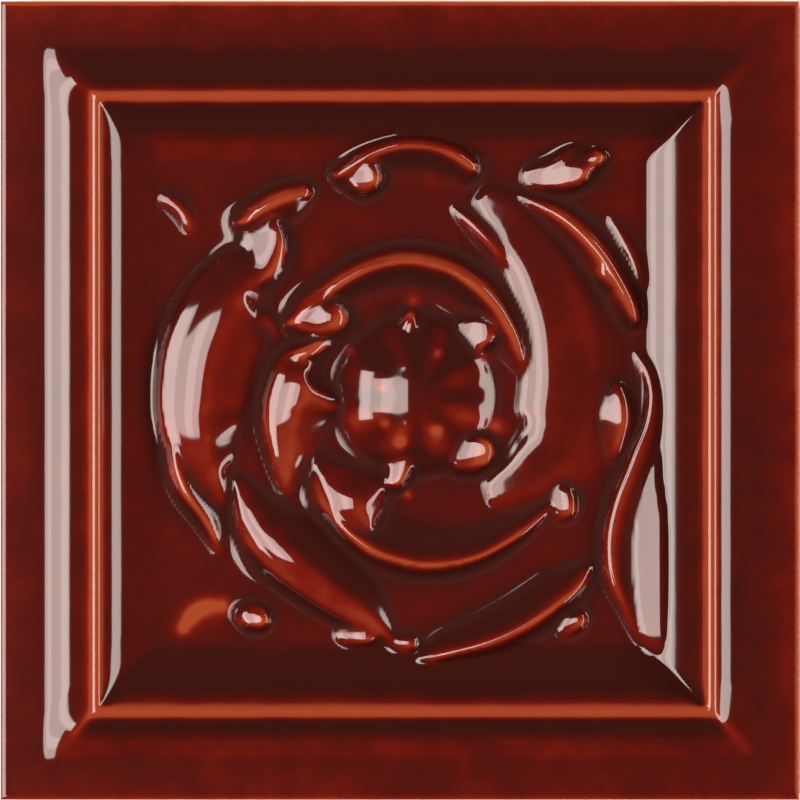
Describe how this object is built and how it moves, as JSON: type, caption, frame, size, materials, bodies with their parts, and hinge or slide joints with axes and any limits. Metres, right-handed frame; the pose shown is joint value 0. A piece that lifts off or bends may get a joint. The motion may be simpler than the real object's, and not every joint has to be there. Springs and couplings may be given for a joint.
{
  "type": "decorative insert tile",
  "caption": "Square glazed ceramic insert tile with a raised coved moulding round a sunk panel that holds a whirling leaf rosette in relief",
  "frame": {"origin": "middle of the flat back, with the tile lying on its back", "axes": "X and Y run along the tile's sides, with Y towards the top of the face as the picture shows it; Z runs out of the face"},
  "size_m": [0.075, 0.075, 0.0102],
  "materials": {
    "oxblood_glaze": "deep oxblood red gloss glaze that thins to orange brown on the crests and pools to maroon black in the hollows"
  },
  "bodies": {
    "root": {"insert_tile": "oxblood_glaze"}
  },
  "joints": []
}
